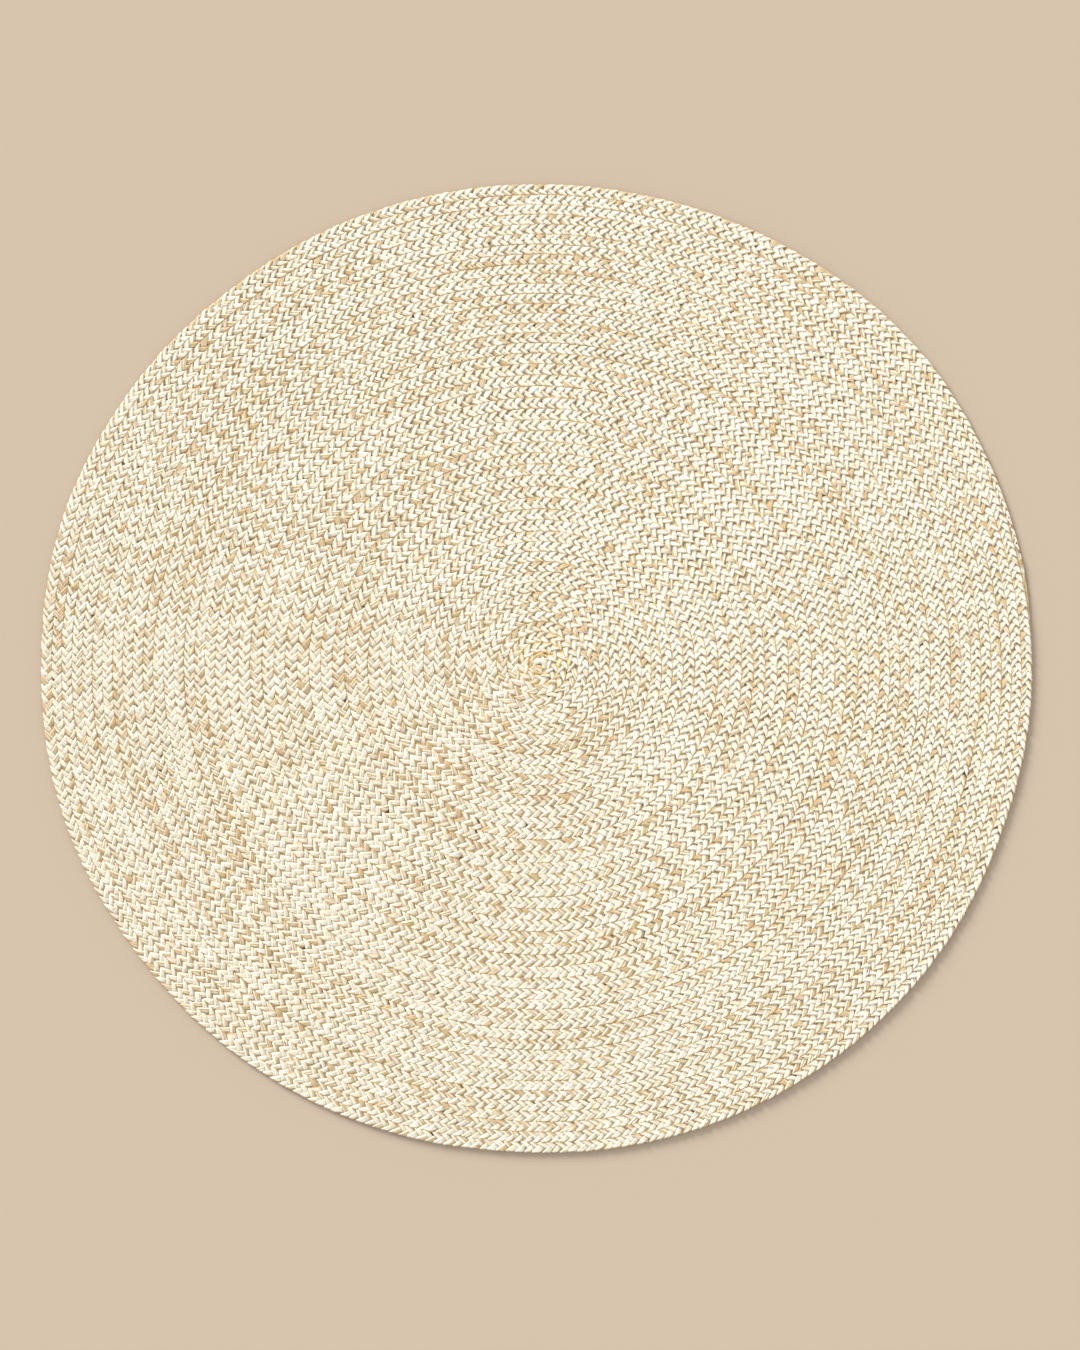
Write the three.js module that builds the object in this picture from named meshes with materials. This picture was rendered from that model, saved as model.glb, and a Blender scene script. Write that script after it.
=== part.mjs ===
// Round rug: one flat three-strand plait, wound into a spiral and sewn edge to edge.
// Millimetres, +Z up. The rug lies on Z = 0, with its origin under the middle of its outline.

import * as THREE from "three";

// Height of the rug over its flat underside
const RUG_THICKNESS = 9;
const SEAM_HEIGHT = 6.4;
const RIM_HEIGHT = 4.6;
const RIM_ROUNDING = 2.2;

// The winding: it starts in a knot and runs outwards, clockwise as seen from above
const KNOT_RADIUS = 9.8;
const TURNS = 46;
const TAIL_DIRECTION = 5.5;
const PLAIT_WIDTHS = [
  { radius: 0, width: 15.7 },
  { radius: 199, width: 15.7 },
  { radius: 225, width: 17.6 },
  { radius: 470, width: 17.6 },
  { radius: 510, width: 15.5 },
  { radius: 800, width: 15.5 },
];

// The plait narrows to a thin tail over the last part of its last turn, given in degrees before its end
const TAIL_TAPER = [
  { beforeEnd: 0, share: 0 },
  { beforeEnd: 3, share: 0.24 },
  { beforeEnd: 8, share: 0.4 },
  { beforeEnd: 31, share: 1 },
  { beforeEnd: 360, share: 1 },
];
const TAIL_TIP_HEIGHT = 5.4;

// The turns are a little oval, and the outer ones drift off the middle of the inner ones
const OVAL_AT_RIM = 10.5;
const OVAL_DIRECTION = -2;
const OVAL_FULL_RADIUS = 750;
const DRIFT_AT_RIM = 9.2;
const DRIFT_DIRECTION = -105;
const DRIFT_START_RADIUS = 290;
const DRIFT_FULL_RADIUS = 750;

// Places where the rim is pushed out or in, which fade towards the middle
const RIM_WAVES = [
  { direction: 45, push: 3.6, spread: 13 },
  { direction: 130, push: -1.8, spread: 7 },
  { direction: 160, push: 2.4, spread: 8 },
  { direction: 180, push: -2.2, spread: 7 },
  { direction: 213, push: -3.2, spread: 10 },
  { direction: 266, push: -2.9, spread: 9 },
  { direction: 292, push: 1.2, spread: 8 },
  { direction: 340, push: -3.8, spread: 12 },
];
const WAVE_FADE_POWER = 5;

// Steps along the winding: the fine step everywhere, and how many of them one facet spans
const FINE_STEPS = 96;
const FACET_STRIDES = [
  { radius: 0, stride: 6 },
  { radius: 60, stride: 4 },
  { radius: 150, stride: 3 },
  { radius: 260, stride: 2 },
  { radius: 725, stride: 1 },
];

const LAST_STEP = TURNS * FINE_STEPS;
const RIM_START_STEP = LAST_STEP - FINE_STEPS;

// Value of a table at a place between its rows, in proportion
function readTable(rows, key, value, place) {
  const above = rows.findIndex((row) => row[key] >= place);
  if (above === 0) {
    return rows[0][value];
  }
  const low = rows[above - 1];
  const high = rows[above];
  const share = (place - low[key]) / (high[key] - low[key]);
  return low[value] + share * (high[value] - low[value]);
}

// Mean radius of the outer seam at each fine step: it grows by one plait width a turn
function windRadii() {
  const radii = [KNOT_RADIUS];
  for (let step = 0; step < LAST_STEP; step += 1) {
    const width = readTable(PLAIT_WIDTHS, "radius", "width", radii[step]);
    radii.push(radii[step] + width / FINE_STEPS);
  }
  return radii;
}

// Direction from the middle, in degrees anticlockwise from +X
function directionAt(step) {
  return TAIL_DIRECTION + (360 * (LAST_STEP - step)) / FINE_STEPS;
}

// How far the rim waves push a point at this direction and mean radius
function waveAt(direction, radius) {
  const fade = (radius / OVAL_FULL_RADIUS) ** WAVE_FADE_POWER;
  let push = 0;
  for (const wave of RIM_WAVES) {
    const away = THREE.MathUtils.euclideanModulo(direction - wave.direction + 180, 360) - 180;
    push += wave.push * Math.exp(-((away / wave.spread) ** 2));
  }
  return fade * push;
}

// Point on the ground plane at a mean radius and a direction, on the oval and drifting turns
function placeAt(radius, direction) {
  const toOval = THREE.MathUtils.degToRad(2 * (direction - OVAL_DIRECTION));
  const ovalShare = Math.sin((Math.PI / 2) * Math.min(radius / OVAL_FULL_RADIUS, 1));
  const reach = radius + OVAL_AT_RIM * ovalShare * Math.cos(toOval) + waveAt(direction, radius);
  const driftRange = DRIFT_FULL_RADIUS - DRIFT_START_RADIUS;
  const driftShare = THREE.MathUtils.clamp((radius - DRIFT_START_RADIUS) / driftRange, 0, 1);
  const drift = DRIFT_AT_RIM * driftShare;
  const turn = THREE.MathUtils.degToRad(direction);
  const driftTurn = THREE.MathUtils.degToRad(DRIFT_DIRECTION);
  return new THREE.Vector2(
    reach * Math.cos(turn) + drift * Math.cos(driftTurn),
    reach * Math.sin(turn) + drift * Math.sin(driftTurn),
  );
}

// Share of its full width that the plait has at a step: less than 1 only in the tail
function widthShareAt(step) {
  const beforeEnd = Math.min((360 * (LAST_STEP - step)) / FINE_STEPS, 360);
  return readTable(TAIL_TAPER, "beforeEnd", "share", beforeEnd);
}

// Outer seam of the plait at a step
function seamAt(radii, step) {
  const full = placeAt(radii[step], directionAt(step));
  if (step <= RIM_START_STEP) {
    return full;
  }
  const inner = seamAt(radii, step - FINE_STEPS);
  return inner.lerp(full, widthShareAt(step));
}

// Steps at which the winding has points: close together at the rim, further apart inside
function facetSteps(radii) {
  const steps = [];
  let step = 0;
  while (step < LAST_STEP) {
    steps.push(step);
    const row = FACET_STRIDES.findLast((candidate) => radii[step] >= candidate.radius);
    step += row.stride - (step % row.stride);
  }
  steps.push(LAST_STEP);
  return steps;
}

// Joins an inner and an outer line of points, both running outwards along the winding, with faces
// that look up. Each line is a list of { at, index }, and the line that lags behind moves on first.
function stitch(inner, outer, faces) {
  let a = 0;
  let b = 0;
  while (a < inner.length - 1 || b < outer.length - 1) {
    const innerNext = a < inner.length - 1 ? inner[a + 1].at : Infinity;
    const outerNext = b < outer.length - 1 ? outer[b + 1].at : Infinity;
    if (innerNext <= outerNext) {
      faces.push(inner[a].index, inner[a + 1].index, outer[b].index);
      a += 1;
    } else {
      faces.push(inner[a].index, outer[b + 1].index, outer[b].index);
      b += 1;
    }
  }
}

// The rug as one closed surface: a knot at the middle, a ridge along every turn with a seam on
// each side of it, a rounded rim and a flat underside
function rugGeometry() {
  const radii = windRadii();
  const steps = facetSteps(radii);
  const points = [];
  const faces = [];
  const addPoint = (place, height) => {
    points.push(place.x, place.y, height);
    return points.length / 3 - 1;
  };

  // Seam line: the last point closes the tail on the turn inside it
  const seam = new Map();
  for (const step of steps.slice(0, -1)) {
    const height = step < RIM_START_STEP ? SEAM_HEIGHT : RIM_HEIGHT;
    seam.set(step, addPoint(seamAt(radii, step), height));
  }
  seam.set(LAST_STEP, seam.get(RIM_START_STEP));

  // Ridge line, half-way between the seams on its two sides
  const ridge = new Map();
  for (const step of steps.filter((each) => each >= FINE_STEPS && each < LAST_STEP)) {
    const middle = seamAt(radii, step).lerp(seamAt(radii, step - FINE_STEPS), 0.5);
    const height = THREE.MathUtils.lerp(TAIL_TIP_HEIGHT, RUG_THICKNESS, widthShareAt(step));
    ridge.set(step, addPoint(middle, height));
  }

  // Both slopes of the ridge
  const asLine = (line, shift, from, to) => {
    const rows = [...line].filter(([step]) => step >= from && step <= to);
    return rows.map(([step, index]) => ({ at: step + shift, index }));
  };
  const ridgeLine = asLine(ridge, 0, FINE_STEPS, LAST_STEP);
  stitch(asLine(seam, FINE_STEPS, 0, RIM_START_STEP), ridgeLine, faces);
  stitch(ridgeLine, asLine(seam, 0, FINE_STEPS, LAST_STEP), faces);

  // Knot at the middle: a fan over the first turn and the start of the first ridge
  const knot = addPoint(placeAt(0, 0), RUG_THICKNESS);
  const knotLoop = asLine(seam, 0, 0, FINE_STEPS).map((point) => point.index);
  knotLoop.push(ridge.get(FINE_STEPS), seam.get(0));
  for (let i = 1; i < knotLoop.length; i += 1) {
    faces.push(knot, knotLoop[i], knotLoop[i - 1]);
  }

  // Rim and flat underside
  const rimSteps = steps.filter((step) => step >= RIM_START_STEP);
  const underMiddle = addPoint(placeAt(0, 0), 0);
  const foot = new Map();
  for (const step of rimSteps.slice(0, -1)) {
    const out = seamAt(radii, step);
    foot.set(step, addPoint(out.setLength(out.length() - RIM_ROUNDING), 0));
  }
  foot.set(LAST_STEP, foot.get(RIM_START_STEP));
  for (let i = 1; i < rimSteps.length; i += 1) {
    const [near, far] = [rimSteps[i - 1], rimSteps[i]];
    faces.push(seam.get(near), seam.get(far), foot.get(near));
    faces.push(foot.get(near), seam.get(far), foot.get(far));
    faces.push(underMiddle, foot.get(near), foot.get(far));
  }

  const geometry = new THREE.BufferGeometry();
  geometry.setAttribute("position", new THREE.Float32BufferAttribute(points, 3));
  geometry.setIndex(faces);
  geometry.computeVertexNormals();
  return geometry;
}

// Ivory yarn with natural tan yarn in it
function yarnMaterial() {
  return new THREE.MeshStandardMaterial({ color: 0xe9dfc8, roughness: 0.95, metalness: 0 });
}

// The rug with its origin under the middle of its outline
function makeRug() {
  const geometry = rugGeometry();
  geometry.computeBoundingBox();
  const middle = geometry.boundingBox.getCenter(new THREE.Vector3());
  geometry.translate(-middle.x, -middle.y, 0);
  const rug = new THREE.Mesh(geometry, yarnMaterial());
  rug.name = "rug";
  return rug;
}

const group = new THREE.Group();
group.name = "round_rug";
group.add(makeRug());

export default group;
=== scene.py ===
# Round rug: three strands of ivory and tan yarn in one flat plait, wound into a spiral.
import math

import bpy
import numpy as np
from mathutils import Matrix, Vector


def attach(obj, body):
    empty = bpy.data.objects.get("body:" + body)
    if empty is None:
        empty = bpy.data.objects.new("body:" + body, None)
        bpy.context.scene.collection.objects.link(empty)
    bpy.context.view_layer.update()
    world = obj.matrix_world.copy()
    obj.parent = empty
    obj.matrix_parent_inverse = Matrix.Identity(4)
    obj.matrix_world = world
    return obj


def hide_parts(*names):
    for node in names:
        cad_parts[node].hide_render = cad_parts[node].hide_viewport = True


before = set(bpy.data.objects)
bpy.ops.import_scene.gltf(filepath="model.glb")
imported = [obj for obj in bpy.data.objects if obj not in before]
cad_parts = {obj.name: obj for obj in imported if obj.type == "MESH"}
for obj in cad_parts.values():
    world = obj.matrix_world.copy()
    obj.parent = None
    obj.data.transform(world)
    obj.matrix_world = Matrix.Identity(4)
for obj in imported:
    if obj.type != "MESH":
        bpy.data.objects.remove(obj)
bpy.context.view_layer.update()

# Sizes in millimetres and directions in degrees, as the rug's solid has them
MM = 0.001
THICKNESS = 9.0
KNOT_RADIUS = 9.8
TURNS = 46
TAIL_DIRECTION = 5.5
PLAIT_WIDTHS = {"radius": (0, 199, 225, 470, 510, 800), "width": (15.7, 15.7, 17.6, 17.6, 15.5, 15.5)}
TAIL_TAPER = {"before_end": (0, 3, 8, 31, 360), "share": (0, 0.24, 0.4, 1, 1)}
OVAL_AT_RIM, OVAL_DIRECTION, OVAL_FULL_RADIUS = 10.5, -2.0, 750.0
DRIFT_AT_RIM, DRIFT_DIRECTION = 9.2, -105.0
DRIFT_START_RADIUS, DRIFT_FULL_RADIUS = 290.0, 750.0
RIM_WAVES = {
    "direction": (45, 130, 160, 180, 213, 266, 292, 340),
    "push": (3.6, -1.8, 2.4, -2.2, -3.2, -2.9, 1.2, -3.8),
    "spread": (13, 7, 8, 7, 10, 9, 8, 12),
}
WAVE_FADE_POWER = 5

# How finely the winding is worked out: the radius up to beyond the rim, the outline, and the
# plait's middle line in points a turn, with the way before and after a point that gives its direction
RADIUS_LIMIT, RADIUS_STEPS = 900, 8000
OUTLINE_STEPS = 96
LINE_STEPS = 400
DIRECTION_REACH = 1.0

# Camera: straight above, with the photo's framing
PHOTO_WIDTH, PHOTO_HEIGHT = 1080, 1350
PIXEL_MM = 1500 / 982
RUG_PIXEL_X, RUG_PIXEL_Y = 536.65, 668.5
CAMERA_HEIGHT = 6.0
SENSOR_HEIGHT = 36.0

# The room: a floor that reaches this far each way, a broad key light with its aim, strength, width
# in degrees and colour, and even light from all round. Surfaces are painted with the kept share
# of the brightness that they show, and both lights are stronger by as much.
FLOOR_REACH = 9000.0
LIGHT_KEPT = 0.78
KEY_AIM = (0.60, -0.70, -0.41)
KEY_STRENGTH = 3.6
KEY_WIDTH = 24
KEY_COLOUR = (1.0, 0.99, 0.97)
SKY_STRENGTH = 0.795
SKY_COLOUR = (1.0, 0.995, 0.985, 1)

# The plait: three flat strands. Each half period a strand runs outwards on top, folds over the edge,
# and comes back underneath. A column gives its place in the half period, its way from the middle to
# the edge, its height from low to high, how far round the edge it has folded and how far it is
# rolled over its neighbour, in degrees, how far its section leans back, as a share of the slant, and
# its thickness, as a share of the full one.
STRANDS = 3
PLAIT_PERIOD = 40.8
RUN = {
    "place": (0.00, 0.375, 0.47, 0.60),
    "across": (0.00, 0.88, 1.12, 0.78),
    "height": (0.10, 1.00, 0.15, -0.98),
    "folded": (0, 8, 80, 180),
    "roll": (24, 4, 0, 0),
    "lean": (1.0, 0.25, 0.0, 0.6),
    "thick": (1.0, 1.0, 0.5, 1.0),
}

# A strand's cover is its width along the plait as a share of its part of the period. Then come its
# half height, how far it rises and sinks, and its clearance of the floor. At a seam its reach is the
# plait's half width with the press added, and at the rim with the inset taken off. The strands
# stop eight degrees before the winding's end.
STRAND_COVER = 1.14
STRAND_HALF_HEIGHT = 1.9
STRAND_RISE = 2.3
STRAND_CLEARANCE = 0.05
PRESS_AT_SEAM = -0.5
INSET_AT_RIM = 0.9
LEAST_REACH = 0.1
PLAIT_ENDS_AT = TURNS - 8.0 / 360

# Where the plait's half width is less than the full one, the plait is thinner too. The slant of its
# strands is worked out with at least the slant's half width.
FULL_HALF_WIDTH = 7.8
THINNING_POWER = 0.5
SLANT_HALF_WIDTH = 4.8

# A strand's section, its half width and half height, and how far its edges look rounded
SECTION = np.array([(-0.72, 0.92), (0.34, 0.92), (1, 0), (0.34, -0.92), (-0.72, -0.92), (-1, 0)])
SECTION_SIZE = (4.6, 1.9)
EDGE_ROUNDING = 0.32

# The section of loose yarns, and the least share of their closing length, at their very ends
ROUND_SECTION = np.array([(0, 1), (0.87, 0.5), (0.87, -0.5), (0, -1), (-0.87, -0.5), (-0.87, 0.5)])
BLUNT_END = 0.02

# How uneven the plait is: the size of each unevenness, its wave length in millimetres and the number
# that seeds it. The first three shift places along the plait, and offset shifts the plait sideways,
# in millimetres. The others are shares of a strand's own measures. Each strand's seeds come after
# those of the strand before it.
SEED = 46
STRAND_SEEDS = 20
UNEVEN = {
    "slow": (6.5, 230.0, 1),
    "wander": (1.4, 60.0, 9),
    "stroke": (2.3, 11.0, 2),
    "reach": (0.07, 13.0, 3),
    "offset": (0.5, 260.0, 4),
    "thickness": (0.05, 23.0, 5),
    "height": (0.06, 19.0, 6),
    "width": (0.26, 17.0, 7),
    "roll": (0.3, 15.0, 8),
}

# Yarns of the knot: their places in the photo's pixels with a height in millimetres, then half
# width, half height and colour. The last two close the middle from below.
KNOT_YARNS = (
    (((534.0, 664.0, 4.5), (536.8, 661.8, 6.6), (540.6, 661.0, 7.2), (543.6, 662.8, 7.0),
      (544.4, 665.8, 6.0), (543.4, 668.4, 4.5)), 4.2, 2.2, "ivory"),
    (((531.0, 667.5, 4.5), (531.6, 661.0, 6.0), (535.5, 656.0, 6.6), (541.3, 654.6, 6.8),
      (547.4, 657.0, 6.6), (550.6, 662.6, 5.8), (549.6, 669.0, 4.4)), 1.9, 1.7, "gold"),
    (((533.6, 668.4, 4.6), (537.0, 666.8, 5.8), (540.4, 667.0, 5.8), (542.6, 669.6, 4.8)), 3.0, 1.8, "gold"),
    (((546.5, 671.8, 4.6), (541.0, 673.2, 6.0), (536.0, 672.0, 6.4), (532.0, 668.4, 5.8),
      (528.8, 663.0, 4.4)), 1.8, 1.6, "gold"),
    (((536.0, 663.5, 2.5), (539.6, 667.0, 1.9), (543.4, 671.0, 2.5)), 3.9, 1.7, "ivory"),
    (((539.0, 660.8, 2.5), (542.6, 664.2, 1.9), (546.4, 668.2, 2.5)), 3.9, 1.7, "gold"),
)

# Spacing of the rings of the knot's yarns, and the length over which their ends close
KNOT_SPACING = 1.0
KNOT_CLOSING = 2.0

# The tail: where it starts and stops, in degrees before the plait's end, its rings, the length of one
# twist, and how far its strands lie from its middle and how their half width changes along it. Then
# come a strand's height as a share of its width, the height of the tail's middle, the twist's height
# as a share of its width, how far outwards the tail lies, and the length over which its ends close.
TAIL_STARTS = 8.4
TAIL_STOPS = 0.4
TAIL_RINGS = 60
TAIL_TWIST = 70.0
TAIL_SPREAD = {"share": (0, 0.25, 1), "value": (1.9, 1.2, 0.3)}
TAIL_HALF_WIDTH = {"share": (0, 0.15, 0.75, 1), "value": (1.2, 2.0, 1.2, 0.7)}
TAIL_FLATNESS = 0.95
TAIL_HEIGHT, TAIL_LIFT, TAIL_OUT = 3.9, 0.9, 0.6
TAIL_CLOSING = 3.0

# The golden thread: its wraps' places, in degrees before the plait's end, their rings, the share of a
# turn that a wrap makes, how far it moves along meanwhile, the height of its middle, its rise above
# that, its reach to the sides as a share of the plait's half width, and the thread's radius
WRAPS_BEFORE_END = (7.62, 7.45, 7.28, 7.11, 6.94)
WRAP_RINGS = 28
WRAP_TURN = 0.98
WRAP_LEAD = 1.6
WRAP_HEIGHT, WRAP_RISE, WRAP_REACH = 4.5, 3.4, 0.8
THREAD_RADIUS = 0.95

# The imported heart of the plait, which closes the gaps between the strands: its steps a turn, its half
# thickness at the seams and between them, how far it stays inside the rim, and how much less its
# seams thin along the tail
HEART_STEPS = 120
HEART_HALF_AT_SEAM = 1.2
HEART_HALF_AT_MIDDLE = 0.8
HEART_MARGIN = 1.6
HEART_TAPER_START = 0.2

# Where on the yarn map the pieces start, in metres, so that no two are alike: each strand of the
# plait this far after the one before it, and the loose yarns a metre apart from these starts on
STRAND_YARN_STEP = 131.0
KNOT_YARN_START, TAIL_YARN_START, THREAD_YARN_START = 400, 410, 420

# The "edge" value of loose yarns. On the strands it grows from 0 at the plait's middle to about 1 at
# the plait's edge.
OPEN_YARN = 0.6

# Yarn materials: the mix at which a yarn starts to be tan and at which it is all tan, how golden its
# tan is everywhere, how much the tail's tip adds to the mix, and the share of the painted shade it shows
YARN_KINDS = {
    "plaited_yarn": (-0.05, 0.035, 0.0, 0.0, 1.0),
    "knot_yarn": (0.22, 0.30, 0.0, 0.0, 1.0),
    "knot_golden_yarn": (-0.30, -0.20, 0.8, 0.0, 0.6),
    "tail_yarn": (0.12, 0.22, 0.6, 0.6, 1.0),
    "golden_thread": (-2.0, -1.9, 1.0, 0.0, 0.1),
}

# Noises on the yarn. The metres along it are divided by a wave length, or multiplied by the waves
# in a metre. Then come the step from one yarn to the next, the depth, the detail and the roughness.
YARN_NOISES = {
    "run": ("DIVIDE", 0.30, 5.3, 0.0, 3.0, 0.7),
    "wide": ("DIVIDE", 0.30, 3.7, 7.0, 2.0, 0.6),
    "fibre": ("MULTIPLY", 320.0, 3.0, 0.0, 3.0, 0.7),
    "fleck": ("MULTIPLY", 170.0, 1.0, 9.0, 0.0, 0.5),
    "hue": ("MULTIPLY", 60.0, 3.1, 4.0, 2.0, 0.6),
    "depth": ("MULTIPLY", 50.0, 1.0, 13.0, 1.0, 0.6),
}

# A strand's yarns, and the place of its trailing edge on the way round it
PLIES = 10
TAN_SIDE = 0.397

# How the mix of tan is weighed: towards the trailing edge, whose tan side widens towards the plait's
# edge, towards the plait's edge itself, by noise in each yarn and on each side of the strand, and
# near the knot. The fades round the knot and the tail's tip are distances in millimetres.
LEAN_TO_TAN, LEAN_FADES = 0.18, (0.09, 0.25)
TAN_WIDENS = 0.15
EDGE_TO_TAN, EDGE_GROWS = 0.015, (0.1, 1.0)
PLY_WEIGHT = 1.7
STRAND_WEIGHT = 1.2
KNOT_TO_TAN, KNOT_TAN_FADES = 0.10, (16, 62)
KNOT_GOLD_FADES = (18, 62)
TIP_FADES = (27, 36)

# Noise values between which a colour sets in or fades, with the most or least share that it has
CREAM_FADES, CREAM_MOST = (0.38, 0.53), 0.9
HUE_GROWS = (0.35, 0.65)
WARM_GROWS = (0.35, 0.7)
DEEP_GROWS = (0.3, 0.7)
GOLD_GROWS, GOLD_LEAST = (0.3, 0.55), 0.4
FLECK_GROWS = (0.80, 0.84)

# Painted shade: in the grooves between the yarns, in the creases at the strand's two edges, and at
# the start of a stroke at the plait's middle, where it comes out from under its neighbour, each with
# its strength, its places and how the depth noise varies it, and where the shade turns from grey to
# warm brown, from the plait's middle to its edge
GROOVE_SHADE, GROOVE_GROWS, GROOVE_DEPTH = 0.9, (0.6, 1.0), (0.46, 0.6)
CREASE_SHADE, CREASE_TRAILING, CREASE_LEADING = 0.26, (0.045, 0.085), (0.03, 0.07)
START_SHADE, START_FADES = 0.54, (0.0, 0.24)
CREASE_DEPTH, CREASE_LEAST, CREASE_MOST = (0.38, 0.6), 0.25, 1.25
SHADE_TURNS_WARM = (0.2, 0.7)

# Height of the short fibres, as a share of the round backs of the yarns that they stand on
FIBRE_HEIGHT = 0.5

# The heart's noise values between which it turns dark: by mottles, and by painted shade in rare holes
HEART_MOTTLE, HEART_HOLE_SHADE = (0.35, 0.65), (0.72, 0.78)

# Places on the plan that the materials know, in millimetres
KNOT_AT = (6.2, 10.2)
TAIL_AT = (746.0, 116.0)
# Around this place the heart is painted dark as the shade in the gap at the tail's start
TAIL_GAP_AT = (739.0, 148.0)
TAIL_GAP_SHADE_FADES = (2.2, 4.0)


def winding_radius(turn):
    """Mean radius of the outer seam after so many turns. One turn adds one plait width, so the turns
    up to a radius are the sum of 1 / width, and the radius is read back from that sum."""
    radius = np.linspace(KNOT_RADIUS, RADIUS_LIMIT, RADIUS_STEPS)
    width = np.interp(radius, PLAIT_WIDTHS["radius"], PLAIT_WIDTHS["width"])
    steps = 0.5 * (1 / width[1:] + 1 / width[:-1]) * np.diff(radius)
    turns = np.concatenate([[0], np.cumsum(steps)])
    inside = KNOT_RADIUS * np.clip(1 + turn, 0, 1)
    return np.where(turn < 0, inside, np.interp(turn, turns, radius))


def place(radius, direction):
    """Points on the floor at a mean radius and direction: a circle, plus an oval that grows as a
    quarter sine with the radius, plus bell-shaped waves near the rim, with a middle that drifts."""
    oval = np.sin(np.pi / 2 * np.minimum(radius / OVAL_FULL_RADIUS, 1))
    reach = radius + OVAL_AT_RIM * oval * np.cos(np.radians(2 * (direction - OVAL_DIRECTION)))
    fade = (radius / OVAL_FULL_RADIUS) ** WAVE_FADE_POWER
    for at, push, spread in zip(*RIM_WAVES.values()):
        away = (direction - at + 180) % 360 - 180
        reach = reach + fade * push * np.exp(-((away / spread) ** 2))
    drift_range = DRIFT_FULL_RADIUS - DRIFT_START_RADIUS
    drift = DRIFT_AT_RIM * np.clip((radius - DRIFT_START_RADIUS) / drift_range, 0, 1)
    turn, drift_turn = np.radians(direction), math.radians(DRIFT_DIRECTION)
    x = reach * np.cos(turn) + drift * math.cos(drift_turn)
    y = reach * np.sin(turn) + drift * math.sin(drift_turn)
    return np.stack([x, y], -1)


def width_share(turn):
    """Share of its full width that the plait has after so many turns."""
    before_end = 360 * (TURNS - turn)
    return np.interp(before_end, TAIL_TAPER["before_end"], TAIL_TAPER["share"])


def seam_from_knot(turn):
    """Outer seam of the plait after so many turns, with its tail drawn in to the turn inside it,
    measured from the middle of the winding."""
    turn = np.asarray(turn, float)
    direction = TAIL_DIRECTION + 360 * (TURNS - turn)
    full = place(winding_radius(turn), direction)
    inner = place(winding_radius(turn - 1), direction)
    share = np.where(turn > TURNS - 1, width_share(turn), 1)[..., None]
    return inner + share * (full - inner)


def outline_middle():
    """Middle of the outline's box, which the frame has as its origin."""
    rim = seam_from_knot(np.linspace(TURNS - 1, TURNS, OUTLINE_STEPS, endpoint=False))
    return (rim.min(0) + rim.max(0)) / 2


OUTLINE_MIDDLE = outline_middle()


def seam(turn):
    """Outer seam of the plait after so many turns, in the rug's frame."""
    return seam_from_knot(turn) - OUTLINE_MIDDLE


class PlaitLine:
    """The middle line of the plait, by its length in millimetres from the start at the knot: half
    way between the seams on its two sides."""

    def __init__(self):
        self.turn = np.linspace(0, TURNS, LINE_STEPS * TURNS + 1)
        outer, inner = seam(self.turn), seam(self.turn - 1)
        self.middle = 0.5 * (outer + inner)
        self.half_width = 0.5 * np.linalg.norm(outer - inner, axis=-1)
        gone = np.linalg.norm(np.diff(self.middle, axis=0), axis=-1)
        self.length = np.concatenate([[0], np.cumsum(gone)])
        self.rim_start, self.end = self.length_at(np.array((TURNS - 1, PLAIT_ENDS_AT)))

    def length_at(self, turn):
        """Length from the start after so many turns."""
        return np.interp(turn, self.turn, self.length)

    def read(self, length, values):
        """Values along the line, read out at lengths."""
        columns = np.atleast_2d(values.T)
        return np.stack([np.interp(length, self.length, column) for column in columns], -1)

    def at(self, length):
        """Middle, direction along the plait, outward direction across it, and half width."""
        middle = self.read(length, self.middle)
        after = self.read(length + DIRECTION_REACH, self.middle)
        before = self.read(length - DIRECTION_REACH, self.middle)
        ahead = unit(after - before)
        across = np.stack([-ahead[:, 1], ahead[:, 0]], -1)
        flat = np.zeros((len(length), 1))
        half = self.read(length, self.half_width)[:, 0]
        return middle, np.hstack([ahead, flat]), np.hstack([across, flat]), half


def unit(vectors):
    """Vectors divided by their lengths."""
    return vectors / np.linalg.norm(vectors, axis=-1, keepdims=True)


def path_length(path):
    """Length from the path's start to each of its points."""
    return np.concatenate([[0], np.cumsum(np.linalg.norm(np.diff(path, axis=0), axis=-1))])


def drift_noise(length, wave_length, seed):
    """Smooth noise between -1 and 1: random values a wave length apart, joined by half cosines."""
    rng = np.random.default_rng(SEED * 1000 + seed)
    values = rng.uniform(-1, 1, int(length.max() / wave_length) + 3)
    at = length / wave_length
    low = np.floor(at).astype(int)
    share = 0.5 - 0.5 * np.cos(np.pi * (at - low))
    return values[low] * (1 - share) + values[low + 1] * share


def uneven(length, kind, strand=0):
    """Unevenness along the plait: the size in its row of UNEVEN times noise of that wave length. A
    strand's number gives it noise of its own."""
    size, wave_length, seed = UNEVEN[kind]
    return size * drift_noise(length, wave_length, STRAND_SEEDS * strand + seed)


def make_mesh(name, points, faces, uv=None, normals=None, edge=None):
    """A mesh object from points in millimetres and rows of point numbers. uv and normals have one
    row for each corner, and edge one value for each point."""
    mesh = bpy.data.meshes.new(name)
    mesh.from_pydata((points * MM).tolist(), [], faces)
    mesh.polygons.foreach_set("use_smooth", np.ones(len(mesh.polygons), bool))
    if uv is not None:
        layer = mesh.uv_layers.new(name="yarn")
        layer.data.foreach_set("uv", uv.astype(np.float32).ravel())
    if edge is not None:
        values = mesh.attributes.new("edge", "FLOAT", "POINT")
        values.data.foreach_set("value", edge.astype(np.float32))
    mesh.update()
    if normals is not None:
        mesh.normals_split_custom_set(normals.tolist())
    made = bpy.data.objects.new(name, mesh)
    bpy.context.scene.collection.objects.link(made)
    return made


def give(made, material):
    """The piece with its material, riding on the rug's one body."""
    made.data.materials.append(material)
    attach(made, "root")
    return made


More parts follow.
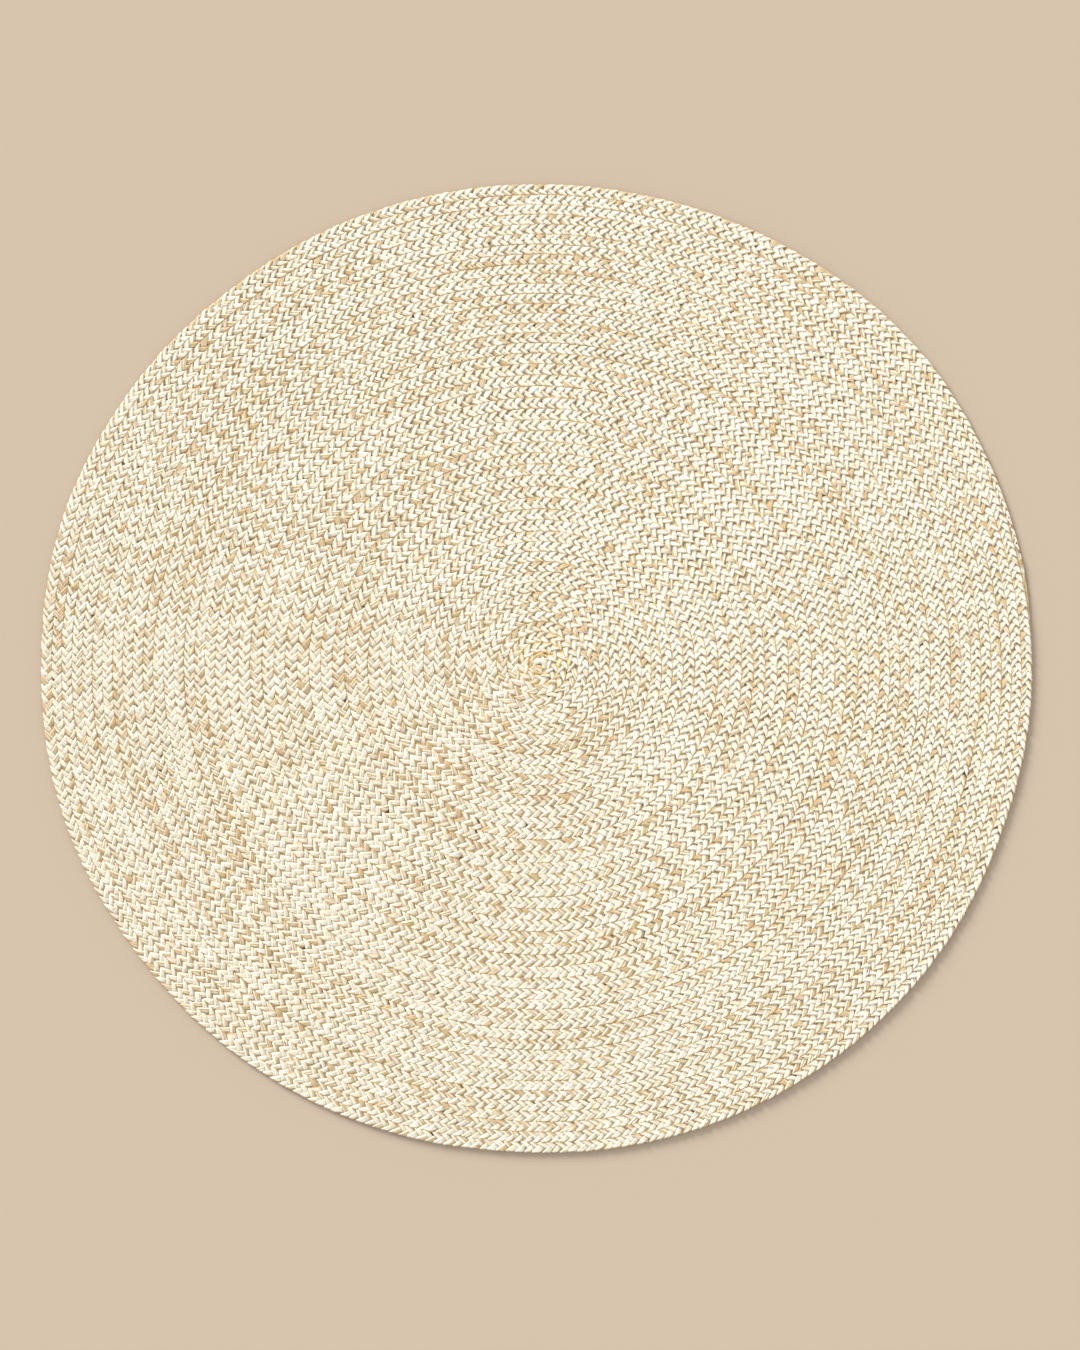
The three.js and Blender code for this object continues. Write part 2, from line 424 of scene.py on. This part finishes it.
def section_normals(section, travel, side, up, ring_at, corner):
    """Normals by corner of a tube's quads: each is the side's own normal, turned part of the way to
    the mean of its neighbours', on axes set square to the tube's travel."""
    shape = section * SECTION_SIZE
    own = unit(np.roll(shape, -1, axis=0) - shape)[:, ::-1] * (-1, 1)
    mean = unit(own + np.roll(own, 1, axis=0))
    at_corner = np.stack([mean, np.roll(mean, -1, axis=0)], 1)
    turned = unit(own[:, None] * (1 - EDGE_ROUNDING) + at_corner * EDGE_ROUNDING)
    true_side = unit(side - (side * travel).sum(-1, keepdims=True) * travel)
    true_up = np.cross(true_side, travel)
    true_up = true_up * np.sign((true_up * up).sum(-1, keepdims=True))
    flat = turned[corner[..., None], (0, 0, 1, 1)]
    return (flat[..., :1] * true_side[ring_at] + flat[..., 1:] * true_up[ring_at]).reshape(-1, 3)


def sweep(path, side, up, half_width, half_height, along, section):
    """A closed tube: the section's corners, scaled by the half width along side and by the half
    height along up, are carried along the path. Each end is closed by a fan. Returns points,
    faces, yarn map by corner (metres along the yarn, share of the way round it) and normals by
    corner."""
    rings, sides = len(path), len(section)
    wide = section[None, :, :1] * half_width[:, None, None] * side[:, None]
    high = section[None, :, 1:] * half_height[:, None, None] * up[:, None]
    points = (path[:, None] + wide + high).reshape(-1, 3)
    shape = section * SECTION_SIZE
    girth = np.linalg.norm(np.roll(shape, -1, axis=0) - shape, axis=-1)
    round_to = np.concatenate([[0], np.cumsum(girth)]) / girth.sum()
    ring, corner = np.meshgrid(np.arange(rings - 1), np.arange(sides), indexing="ij")
    after = (corner + 1) % sides
    quads = np.stack([ring * sides + corner, (ring + 1) * sides + corner,
                      (ring + 1) * sides + after, ring * sides + after], -1).reshape(-1, 4)
    ring_at = np.stack([ring, ring + 1, ring + 1, ring], -1)
    round_at = round_to[np.stack([corner, corner, corner + 1, corner + 1], -1)]
    uv = np.stack([along[ring_at], round_at], -1).reshape(-1, 2)
    first, last = len(points), len(points) + 1
    points = np.concatenate([points, path[:1], path[-1:]])
    corners = np.arange(sides)
    start = np.stack([np.full(sides, first), corners, (corners + 1) % sides], -1)
    base = (rings - 1) * sides
    end = np.stack([np.full(sides, last), base + (corners + 1) % sides, base + corners], -1)
    end_uv = np.repeat([(along[0], 0.5), (along[-1], 0.5)], 3 * sides, axis=0)
    faces = quads.tolist() + start.tolist() + end.tolist()
    travel = unit(np.gradient(path, axis=0))
    normals = section_normals(section, travel, side, up, ring_at, corner)
    end_normals = np.repeat([-travel[0], travel[-1]], 3 * sides, axis=0)
    return points, faces, np.concatenate([uv, end_uv]), np.concatenate([normals, end_normals])


def strand_steps(line, strand, first_period, last_period):
    """The columns of RUN, repeated along one strand between two periods of the plait, with the length
    of each place along the plait, and its way across: outwards in the first half of each period and
    inwards in the second."""
    rows = len(RUN["place"])
    step = np.arange(first_period * 2 * rows, last_period * 2 * rows + 1)
    half_turn, row = step // rows, step % rows
    run = {key: np.array(values, float)[row] for key, values in RUN.items()}
    run["outward"] = np.where(half_turn % 2 == 0, 1.0, -1.0)
    run["length"] = PLAIT_PERIOD * (0.5 * (half_turn + run["place"]) + strand / STRANDS)
    keep = (run["length"] > 0) & (run["length"] < line.end)
    return {key: column[keep] for key, column in run.items()}


def strand_axes(ahead, across, outward, folded, roll, lean):
    """Side and up axes of a strand's section. The section lies across the strand, leaning back
    towards the plait's edge. Its axes turn about the plait's length by the folded angle, so a strand
    shows one face outside and its other inside, and then roll about the strand, so that its leading
    side lies over the next strand at the plait's middle. Lean and roll are in radians."""
    turn = np.radians(np.where(outward > 0, folded, 180 - folded))[:, None]
    roll = roll[:, None] * np.cos(turn)
    lean = lean[:, None]
    level = np.array([0, 0, 1.0])
    out = np.cos(turn) * across - np.sin(turn) * level
    flat_up = np.sin(turn) * across + np.cos(turn) * level
    flat_side = np.sin(lean) * out - np.cos(lean) * ahead
    side = np.cos(roll) * flat_side - np.sin(roll) * flat_up
    up = np.cos(roll) * flat_up + np.sin(roll) * flat_side
    return side, up


def strand_run(line, strand, first_period, last_period):
    """One strand between two periods of the plait: the section swept through the places of RUN. A
    place's way across is its share of the plait's half width, and its height is half the rug's
    thickness plus its share of the strand's rise. All of them are a little uneven. Returns what
    sweep returns, and each place's way from the plait's middle to its edge."""
    run = strand_steps(line, strand, first_period, last_period)
    outward, length = run["outward"], run["length"]
    length = length + uneven(length, "slow") + uneven(length, "wander")
    length = length + uneven(length, "stroke", strand)
    middle, ahead, across, half = line.at(length)
    low = np.clip(half / FULL_HALF_WIDTH, 0, 1) ** THINNING_POWER
    at_rim = (length > line.rim_start) & (outward > 0)
    beyond = np.where(at_rim, -INSET_AT_RIM * low, PRESS_AT_SEAM)
    reach = np.maximum(half + beyond, LEAST_REACH) * (1 + uneven(length, "reach", strand))
    offset = outward * run["across"] * reach + uneven(length, "offset")
    half_height = STRAND_HALF_HEIGHT * low * run["thick"] * (1 + uneven(length, "thickness", strand))
    rise = STRAND_RISE * low * run["height"] * (1 + uneven(length, "height", strand))
    height = np.maximum(THICKNESS / 2 * low + rise, half_height + STRAND_CLEARANCE)
    path = np.hstack([middle, height[:, None]]) + across * offset[:, None]
    run_ahead = (RUN["place"][1] - RUN["place"][0]) * PLAIT_PERIOD / 2
    slant = np.arctan2(RUN["across"][1] * np.maximum(half, SLANT_HALF_WIDTH), run_ahead)
    lean = run["lean"] * slant
    half_width = STRAND_COVER * PLAIT_PERIOD / STRANDS / 2 * np.sin(slant) / np.sin(slant + lean)
    half_width = half_width * (1 + uneven(length, "width", strand))
    roll = np.radians(run["roll"] * (1 + uneven(length, "roll", strand)))
    side, up = strand_axes(ahead, across, outward, run["folded"], roll, lean)
    along = length * MM + STRAND_YARN_STEP * strand
    return (*sweep(path, side, up, half_width, half_height, along, SECTION), run["across"])


def heart_face(outer, middle, taper, sign):
    """Points of one face of the heart: the seams, then the ridges along the middle of every turn,
    then the knot. Each lies the heart's half thickness above (sign 1) or below (sign -1) the middle
    of the rug's thickness, and the half thickness shrinks along the tail."""
    mid = THICKNESS / 2
    at_seam = mid + sign * HEART_HALF_AT_SEAM * np.minimum(taper + HEART_TAPER_START, 1)
    at_middle = mid + sign * HEART_HALF_AT_MIDDLE * taper[HEART_STEPS:]
    knot = np.array([[*seam(np.array([-1.0]))[0], mid + sign * HEART_HALF_AT_MIDDLE]])
    return np.concatenate([np.hstack([outer, at_seam]), np.hstack([middle, at_middle]), knot])


def heart_surface():
    """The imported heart: one closed sheet whose faces bulge along the middle of every turn. Both
    faces are grids of lines that follow the spiral, and the inner line of a turn is the outer line
    of the turn before it. Returns points and faces."""
    steps = HEART_STEPS
    count = TURNS * steps + 1
    turn = np.arange(count) / steps
    outer = seam(turn)
    on_rim = np.clip((turn - (TURNS - 1)) * steps, 0, 1)[:, None]
    outer = outer - on_rim * HEART_MARGIN * outer / np.linalg.norm(outer, axis=-1, keepdims=True)
    middle = 0.5 * (outer[steps:] + outer[:-steps])
    taper = width_share(turn)[:, None]
    seams = np.arange(count)
    seams[-1] = seams[count - 1 - steps]
    ridges = count + np.arange(count - steps)
    knot = count + (count - steps)
    inner_line, outer_line = seams[:-steps], seams[steps:]
    inner_quads = np.stack([inner_line[:-1], inner_line[1:], ridges[1:], ridges[:-1]], -1)
    outer_quads = np.stack([ridges[:-1], ridges[1:], outer_line[1:], outer_line[:-1]], -1)
    quads = np.concatenate([inner_quads, outer_quads])
    loop = np.concatenate([seams[:steps + 1], [ridges[0], seams[0]]])
    fan = np.stack([np.full(len(loop) - 1, knot), loop[1:], loop[:-1]], -1)
    rim = seams[-steps - 1:]
    to_below = knot + 1
    wall = np.stack([rim[:-1], rim[1:], rim[1:] + to_below, rim[:-1] + to_below], -1)
    points = np.concatenate([heart_face(outer, middle, taper, sign) for sign in (1, -1)])
    faces = quads.tolist() + fan.tolist()
    faces += (quads[:, ::-1] + to_below).tolist() + (fan[:, ::-1] + to_below).tolist()
    faces += wall.tolist()
    return points, faces


def smooth_line(points, spacing):
    """A smooth line through control points: each stretch is the cubic whose slope at a point is half
    the way between its neighbours. Read out at about the given spacing."""
    points = np.asarray(points, float)
    ends = np.vstack([2 * points[0] - points[1], points, 2 * points[-1] - points[-2]])
    reach = np.linalg.norm(np.diff(points, axis=0), axis=-1).sum()
    at = np.linspace(0, len(points) - 1, int(reach / spacing) + 1)
    low = np.minimum(at.astype(int), len(points) - 2)
    share = (at - low)[:, None]
    a, b, c, d = (ends[low + shift] for shift in range(4))
    return 0.5 * (2 * b + (c - a) * share + (2 * a - 5 * b + 4 * c - d) * share ** 2
                  + (3 * b - a - 3 * c + d) * share ** 3)


def laid_yarn(path, half_width, half_height, closing, start_along):
    """A yarn laid along a path, flat side up. Both ends close round: over the closing length its
    width and height follow a quarter circle."""
    ahead = unit(np.gradient(path, axis=0))
    side = unit(np.stack([-ahead[:, 1], ahead[:, 0], np.zeros(len(path))], -1))
    up = np.cross(ahead, side)
    gone = path_length(path)
    to_end = np.clip(np.minimum(gone, gone[-1] - gone) / closing, BLUNT_END, 1)
    round_off = np.sqrt(1 - (1 - to_end) ** 2)
    wide, high = (np.broadcast_to(value, len(path)) * round_off for value in (half_width, half_height))
    return sweep(path, side, up, wide, high, gone * MM + start_along, ROUND_SECTION)


def round_yarn(path, radius, start_along):
    """A thin round yarn along any path: its side axis lies across both its direction and the way
    to the path's middle."""
    ahead = unit(np.gradient(path, axis=0))
    up = path - path.mean(0)
    up = unit(up - (up * ahead).sum(-1, keepdims=True) * ahead)
    side = np.cross(up, ahead)
    thick = np.full(len(path), radius)
    return sweep(path, side, up, thick, thick, path_length(path) * MM + start_along, ROUND_SECTION)


def loose_piece(name, swept, material):
    """A piece from what sweep returns, with the edge value of loose yarns."""
    points, faces, uv, normals = swept
    return give(make_mesh(name, points, faces, uv, normals, np.full(len(points), OPEN_YARN)), material)


def from_photo(rows):
    """Millimetres in the rug's frame from rows of (pixel x, pixel y, height in millimetres)."""
    x, y, z = np.asarray(rows, float).T
    return np.stack([(x - RUG_PIXEL_X) * PIXEL_MM, (RUG_PIXEL_Y - y) * PIXEL_MM, z], -1)


def make_knot():
    """The start of the plait at the middle: one ivory strand that hooks round, with golden yarns
    curled beside it and two short yarns below."""
    dyed = {"ivory": yarn_material("knot_yarn"), "gold": yarn_material("knot_golden_yarn")}
    pieces = []
    for number, (rows, wide, high, colour) in enumerate(KNOT_YARNS):
        path = smooth_line(from_photo(rows), KNOT_SPACING)
        yarn = laid_yarn(path, wide, high, KNOT_CLOSING, KNOT_YARN_START + number)
        pieces.append(loose_piece(f"knot_yarn_{number + 1}", yarn, dyed[colour]))
    return pieces


def make_tail(line):
    """The tail at the rim: the three strands lie side by side, twist slowly round one another and
    thin to a tip."""
    golden = yarn_material("tail_yarn")
    length = line.length_at(TURNS - np.linspace(TAIL_STARTS, TAIL_STOPS, TAIL_RINGS) / 360)
    middle, _, across, _ = line.at(length)
    gone = length - length[0]
    share = gone / gone[-1]
    spread = np.interp(share, TAIL_SPREAD["share"], TAIL_SPREAD["value"])
    wide = np.interp(share, TAIL_HALF_WIDTH["share"], TAIL_HALF_WIDTH["value"])
    pieces = []
    for strand in range(STRANDS):
        turn = 2 * math.pi * (strand / STRANDS + gone / TAIL_TWIST)
        height = TAIL_HEIGHT + TAIL_LIFT * spread * np.sin(turn)
        path = np.hstack([middle, height[:, None]])
        path = path + across * (TAIL_OUT + spread * np.cos(turn))[:, None]
        yarn = laid_yarn(path, wide, wide * TAIL_FLATNESS, TAIL_CLOSING, TAIL_YARN_START + strand)
        pieces.append(loose_piece(f"tail_strand_{strand + 1}", yarn, golden))
    return pieces


def make_thread(line):
    """The golden thread round the tail's start: each wrap is an ellipse across the tail, drawn out
    along it by its lead."""
    gold = yarn_material("golden_thread")
    pieces = []
    for number, start in enumerate(WRAPS_BEFORE_END):
        turn = np.linspace(0, 2 * math.pi * WRAP_TURN, WRAP_RINGS)
        length = line.length_at(TURNS - start / 360) + turn / (2 * math.pi) * WRAP_LEAD
        middle, _, across, half = line.at(length)
        path = np.hstack([middle, (WRAP_HEIGHT + WRAP_RISE * np.sin(turn))[:, None]])
        path = path + across * ((WRAP_REACH * half) * np.cos(turn))[:, None]
        yarn = round_yarn(path, THREAD_RADIUS, THREAD_YARN_START + number)
        pieces.append(loose_piece(f"golden_thread_{number + 1}", yarn, gold))
    return pieces


def make_plait(line):
    """The three strands of the whole plait, each in an inner and an outer half of its length."""
    yarn = yarn_material("plaited_yarn")
    periods = int(line.end / PLAIT_PERIOD) + 2
    halfway = periods // 2
    pieces = []
    for strand in range(STRANDS):
        for part, first, last in (("inner", -1, halfway), ("outer", halfway, periods)):
            points, faces, uv, normals, share = strand_run(line, strand, first, last)
            edge = np.concatenate([np.repeat(share, len(SECTION)), [0, 0]])
            piece = make_mesh(f"strand_{strand + 1}_{part}", points, faces, uv, normals, edge)
            pieces.append(give(piece, yarn))
    return pieces


def make_heart():
    """The heart, which stands for the rug's solid, with the imported solid hidden."""
    heart = make_mesh("plait_heart", *heart_surface())
    give(heart, heart_material())
    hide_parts("rug")


def tone(red, green, blue):
    """A colour given in 0 to 255 as a screen shows it in the studio's light, as the linear values
    that shaders take: the screen's standard curve is undone, and the light is brighter than white,
    by as much as the surfaces keep back."""
    screen = np.array([red, green, blue]) / 255
    linear = np.where(screen <= 0.04045, screen / 12.92, ((screen + 0.055) / 1.055) ** 2.4)
    return (*(LIGHT_KEPT * linear).tolist(), 1.0)


IVORY = tone(252, 247, 229)
IVORY_WHITE = tone(251, 248, 240)
IVORY_WARM = tone(246, 237, 211)
CREAM = tone(240, 230, 204)
TAN = tone(226, 204, 158)
TAN_PINK = tone(226, 196, 163)
TAN_DEEP = tone(198, 169, 120)
GOLD = tone(242, 216, 156)
GOLD_DEEP = tone(222, 184, 118)
# Painted shade for the grooves, creases and stroke starts: warm brown, and greyer at the plait's middle
SHADE = tone(168, 134, 86)
SHADE_GREY = tone(168, 140, 100)
# Dark flecks that the yarn has, and also the painted shade in the heart's holes and in the gap at the tail's
# start
SPECK_AND_DEEP_SHADE = tone(96, 80, 58)
# The heart's two mottled tones, painted darker than the tan yarn for the shade deep between the strands
HEART_LIGHT = tone(206, 186, 156)
HEART_DARK = tone(160, 138, 108)
FLOOR = tone(194, 177, 157)


class Wiring:
    """The nodes of one material, made and joined in short calls."""

    def __init__(self, name):
        self.material = bpy.data.materials.new(name)
        self.material.use_nodes = True
        self.tree = self.material.node_tree
        self.shader = self.tree.nodes["Principled BSDF"]

    def join(self, value, socket):
        """Link an output to a socket, or set the socket to a plain value."""
        if isinstance(value, bpy.types.NodeSocket):
            self.tree.links.new(value, socket)
        else:
            socket.default_value = value

    def node(self, kind, output=0, settings=None, **inputs):
        """One output of a new node. Inputs are named, or i0, i1 and so on by their place."""
        made = self.tree.nodes.new(kind)
        for key, value in (settings or {}).items():
            setattr(made, key, value)
        for key, value in inputs.items():
            index = int(key[1:]) if key[0] == "i" and key[1:].isdigit() else key.replace("_", " ")
            self.join(value, made.inputs[index])
        return made.outputs[output]

    def math(self, operation, a, b=0.0):
        """One sum, with a second value where the operation takes one."""
        return self.node("ShaderNodeMath", settings={"operation": operation}, i0=a, i1=b)

    def plus(self, a, b):
        """a + b."""
        return self.math("ADD", a, b)

    def minus(self, a, b):
        """a - b."""
        return self.math("SUBTRACT", a, b)

    def times(self, a, b):
        """a * b."""
        return self.math("MULTIPLY", a, b)

    def larger(self, a, b):
        """The larger of a and b."""
        return self.math("MAXIMUM", a, b)

    def distance(self, a, b):
        """a - b without its sign."""
        return self.math("ABSOLUTE", self.minus(a, b))

    def noise(self, spot, scale, detail, roughness):
        """Smooth noise between 0 and 1, at a place given as three numbers times the scale."""
        return self.node("ShaderNodeTexNoise", Vector=spot, Scale=scale, Detail=detail,
                         Roughness=roughness)

    def range(self, value, span, to_low=0.0, to_high=1.0, smooth=True):
        """From to_low below the span to to_high above it, and in between as the value grows."""
        settings = {"interpolation_type": "SMOOTHSTEP" if smooth else "LINEAR", "clamp": True}
        return self.node("ShaderNodeMapRange", settings=settings, Value=value, From_Min=span[0],
                         From_Max=span[1], To_Min=to_low, To_Max=to_high)

    def mix(self, share, a, b):
        """Colour a at share 0, and b at share 1."""
        made = self.tree.nodes.new("ShaderNodeMix")
        made.data_type = "RGBA"
        for socket, value in zip([made.inputs[0], made.inputs[6], made.inputs[7]], [share, a, b]):
            self.join(value, socket)
        return made.outputs[2]

    def finish(self, colour, roughness, specular, height, bump, bump_depth):
        """The shader's own colour, gloss and bump, with depth in metres."""
        self.join(colour, self.shader.inputs["Base Color"])
        self.shader.inputs["Roughness"].default_value = roughness
        self.shader.inputs["Specular IOR Level"].default_value = specular
        normal = self.node("ShaderNodeBump", Strength=bump, Distance=bump_depth, Height=height)
        self.join(normal, self.shader.inputs["Normal"])


def near(wires, point, span):
    """1 within the span's inner distance of a point on the plan, falling smoothly to 0 at its outer
    one. Distances and the point are in millimetres."""
    spot = wires.node("ShaderNodeTexCoord", output=3)
    flat = wires.node("ShaderNodeVectorMath", settings={"operation": "MULTIPLY"}, i0=spot, i1=(1, 1, 0))
    target = (point[0] * MM, point[1] * MM, 0)
    measure = {"operation": "DISTANCE"}
    away = wires.node("ShaderNodeVectorMath", output=1, settings=measure, i0=flat, i1=target)
    return wires.range(away, (span[0] * MM, span[1] * MM), 1.0, 0.0)


class YarnMap:
    """What a yarn material reads on a strand: metres along it, the share of the way round, the count
    and number of its yarns round it, the way across a yarn from its middle (0) to its edge (1), the
    distances round from the trailing and the leading edge, and the place from the plait's middle (0)
    to its edge (1)."""

    def __init__(self, wires):
        uv = wires.node("ShaderNodeUVMap", settings={"uv_map": "yarn"})
        split = wires.tree.nodes.new("ShaderNodeSeparateXYZ")
        wires.join(uv, split.inputs[0])
        self.wires = wires
        self.along, around = split.outputs[0], split.outputs[1]
        self.count = wires.times(wires.plus(around, 1 - TAN_SIDE), PLIES)
        self.ply = wires.math("FLOORED_MODULO", wires.math("FLOOR", self.count), PLIES)
        self.face = wires.math("FLOOR", wires.math("DIVIDE", self.count, PLIES / 2))
        self.across = wires.times(wires.distance(wires.math("FRACT", self.count), 0.5), 2.0)
        self.trailing = wires.distance(around, TAN_SIDE)
        self.leading = wires.distance(around, TAN_SIDE + 0.5)
        self.edge = wires.node("ShaderNodeAttribute", output=2, settings={"attribute_name": "edge"})

    def noise(self, kind, yarn):
        """Noise of one row of YARN_NOISES, that runs along the strand and differs by yarn."""
        operation, scale, step, depth, detail, roughness = YARN_NOISES[kind]
        x, y = self.wires.math(operation, self.along, scale), self.wires.times(yarn, step)
        spot = self.wires.node("ShaderNodeCombineXYZ", X=x, Y=y, Z=depth)
        return self.wires.noise(spot, 1.0, detail, roughness)


def tan_mix(wires, yarn, wide, tip_to_tan):
    """The mix that decides between ivory and tan: it leans to tan beside the trailing edge and at the
    plait's edge, and smooth noise that lasts about a hand's width along each yarn, and along each
    side of the strand, turns it either way. Near the knot it is higher, and at the tail's tip by
    tip_to_tan."""
    leaf = wires.minus(yarn.trailing, wires.times(wires.minus(yarn.edge, 0.5), TAN_WIDENS))
    lean = wires.range(leaf, LEAN_FADES, LEAN_TO_TAN, -LEAN_TO_TAN, smooth=False)
    at_edge = wires.range(yarn.edge, EDGE_GROWS, -EDGE_TO_TAN, EDGE_TO_TAN, smooth=False)
    by_yarn = wires.times(wires.minus(yarn.noise("run", yarn.ply), 0.5), PLY_WEIGHT)
    by_side = wires.times(wires.minus(wide, 0.5), STRAND_WEIGHT)
    at_knot = wires.times(near(wires, KNOT_AT, KNOT_TAN_FADES), KNOT_TO_TAN)
    at_tip = wires.times(near(wires, TAIL_AT, TIP_FADES), tip_to_tan)
    mixed = wires.plus(lean, at_edge)
    for weight in (by_yarn, by_side, at_knot, at_tip):
        mixed = wires.plus(mixed, weight)
    return mixed


def yarn_colour(wires, yarn, fibre, wide, tan_share, gold_all):
    """Dyed colour of the yarn, before shading: ivory with white, warm and cream runs, or tan with
    pink and deep ones, and golden near the knot in place of tan."""
    hue_noise = yarn.noise("hue", yarn.ply)
    hue = wires.range(hue_noise, HUE_GROWS)
    ivory = wires.mix(wires.range(fibre, WARM_GROWS), wires.mix(hue, IVORY, IVORY_WHITE), IVORY_WARM)
    ivory = wires.mix(wires.range(hue_noise, CREAM_FADES, CREAM_MOST, 0.0), ivory, CREAM)
    deep = wires.range(fibre, DEEP_GROWS)
    tan = wires.mix(deep, wires.mix(hue, TAN, TAN_PINK), TAN_DEEP)
    gold = wires.mix(deep, GOLD, GOLD_DEEP)
    by_side = wires.range(wide, GOLD_GROWS, GOLD_LEAST, 1.0)
    golden = wires.times(near(wires, KNOT_AT, KNOT_GOLD_FADES), by_side)
    golden = wires.larger(golden, gold_all)
    return wires.mix(tan_share, ivory, wires.mix(golden, tan, gold))


def paint_yarn_shade(wires, yarn, colour, painted_shade_share):
    """The colour with painted shade in the grooves between yarns, in the creases at the strand's edges
    and at the start of its strokes, where they come out from under a neighbour, and rare dark flecks."""
    depth = yarn.noise("depth", wires.math("ROUND", yarn.count))
    deep = wires.range(depth, GROOVE_DEPTH, 0.0, GROOVE_SHADE)
    groove = wires.times(wires.range(yarn.across, GROOVE_GROWS), deep)
    # Painted shade in the grooves between the plies
    colour = wires.mix(wires.times(groove, painted_shade_share), colour, SHADE)
    crease = wires.larger(wires.range(yarn.trailing, CREASE_TRAILING, CREASE_SHADE, 0.0),
                          wires.range(yarn.leading, CREASE_LEADING, CREASE_SHADE, 0.0))
    crease = wires.larger(crease, wires.range(yarn.edge, START_FADES, START_SHADE, 0.0))
    varied = wires.range(depth, CREASE_DEPTH, CREASE_LEAST * painted_shade_share, CREASE_MOST * painted_shade_share)
    warm = wires.range(yarn.edge, SHADE_TURNS_WARM)
    # Painted shade in the creases and at the stroke starts, grey at the plait's middle and warm towards its
    # edge
    colour = wires.mix(wires.times(crease, varied), colour, wires.mix(warm, SHADE_GREY, SHADE))
    # Rare dark flecks, which are the yarn's own colour
    return wires.mix(wires.range(yarn.noise("fleck", yarn.count), FLECK_GROWS), colour, SPECK_AND_DEEP_SHADE)


def yarn_material(name):
    """Flat strand of ten plies, which are tenths of the yarn map round it. Its looks are those of
    its row in YARN_KINDS. The round backs of the plies and short fibres are bump."""
    tan_from, tan_to, gold_all, tip_to_tan, painted_shade_share = YARN_KINDS[name]
    wires = Wiring(name)
    yarn = YarnMap(wires)
    wide = yarn.noise("wide", yarn.face)
    fibre = yarn.noise("fibre", yarn.count)
    tan_share = wires.range(tan_mix(wires, yarn, wide, tip_to_tan), (tan_from, tan_to))
    colour = yarn_colour(wires, yarn, fibre, wide, tan_share, gold_all)
    colour = paint_yarn_shade(wires, yarn, colour, painted_shade_share)
    back = wires.math("SQRT", wires.minus(1.0, wires.math("POWER", yarn.across, 2.0)))
    height = wires.plus(back, wires.times(fibre, FIBRE_HEIGHT))
    wires.finish(colour, roughness=0.92, specular=0.15, height=height, bump=0.6, bump_depth=0.0006)
    wires.shader.inputs["Sheen Weight"].default_value = 0.1
    wires.shader.inputs["Sheen Roughness"].default_value = 0.6
    return wires.material


def heart_material():
    """Yarn deep between the strands, painted darker than the strands' tan for the shade it lies in:
    mottled tan-brown with short fibres, and painted dark as shade in rare holes and in the gap at the
    tail's start."""
    wires = Wiring("plait_heart")
    spot = wires.node("ShaderNodeTexCoord", output=3)
    mottle = wires.noise(spot, scale=160.0, detail=4.0, roughness=0.65)
    hole = wires.noise(spot, scale=60.0, detail=0.0, roughness=0.5)
    # The whole heart is painted darker for shade, and its mottles vary at random
    colour = wires.mix(wires.range(mottle, HEART_MOTTLE), HEART_LIGHT, HEART_DARK)
    # Painted shade: dark in rare holes and in the gap at the tail's start
    colour = wires.mix(wires.range(hole, HEART_HOLE_SHADE), colour, SPECK_AND_DEEP_SHADE)
    colour = wires.mix(near(wires, TAIL_GAP_AT, TAIL_GAP_SHADE_FADES), colour, SPECK_AND_DEEP_SHADE)
    wires.finish(colour, roughness=0.95, specular=0.1, height=mottle, bump=0.8, bump_depth=0.0008)
    return wires.material


def make_camera():
    """Camera straight above, whose view is as high as the photo's pixels at the rug's top."""
    data = bpy.data.cameras.new("camera")
    data.sensor_fit = "VERTICAL"
    data.sensor_height = SENSOR_HEIGHT
    view_height = PHOTO_HEIGHT * PIXEL_MM * MM
    data.lens = SENSOR_HEIGHT * (CAMERA_HEIGHT - THICKNESS * MM) / view_height
    camera = bpy.data.objects.new("camera", data)
    right = (PHOTO_WIDTH / 2 - RUG_PIXEL_X) * PIXEL_MM * MM
    up = (RUG_PIXEL_Y - PHOTO_HEIGHT / 2) * PIXEL_MM * MM
    camera.location = (right, up, CAMERA_HEIGHT)
    bpy.context.scene.collection.objects.link(camera)
    bpy.context.scene.camera = camera


def make_floor():
    """Plain pale floor: one square."""
    half = FLOOR_REACH
    corners = np.array([(-half, -half, 0), (half, -half, 0), (half, half, 0), (-half, half, 0)])
    floor = make_mesh("floor", corners, [[0, 1, 2, 3]])
    paint = Wiring("floor_paint")
    paint.shader.inputs["Base Color"].default_value = FLOOR
    paint.shader.inputs["Roughness"].default_value = 0.85
    paint.shader.inputs["Specular IOR Level"].default_value = 0.1
    floor.data.materials.append(paint.material)


def make_light():
    """One broad soft light from the upper left, and even light from all round."""
    data = bpy.data.lights.new("key", "SUN")
    data.energy = KEY_STRENGTH / LIGHT_KEPT
    data.angle = math.radians(KEY_WIDTH)
    data.color = KEY_COLOUR
    key = bpy.data.objects.new("key", data)
    key.rotation_euler = Vector(KEY_AIM).to_track_quat("-Z", "Y").to_euler()
    bpy.context.scene.collection.objects.link(key)
    world = bpy.data.worlds.new("world")
    world.use_nodes = True
    background = world.node_tree.nodes["Background"]
    background.inputs[0].default_value = SKY_COLOUR
    background.inputs[1].default_value = SKY_STRENGTH / LIGHT_KEPT
    bpy.context.scene.world = world
    bpy.context.scene.view_settings.view_transform = "Standard"


make_camera()
make_floor()
make_light()
plait_line = PlaitLine()
laid = make_plait(plait_line) + make_knot() + make_tail(plait_line) + make_thread(plait_line)
make_heart()
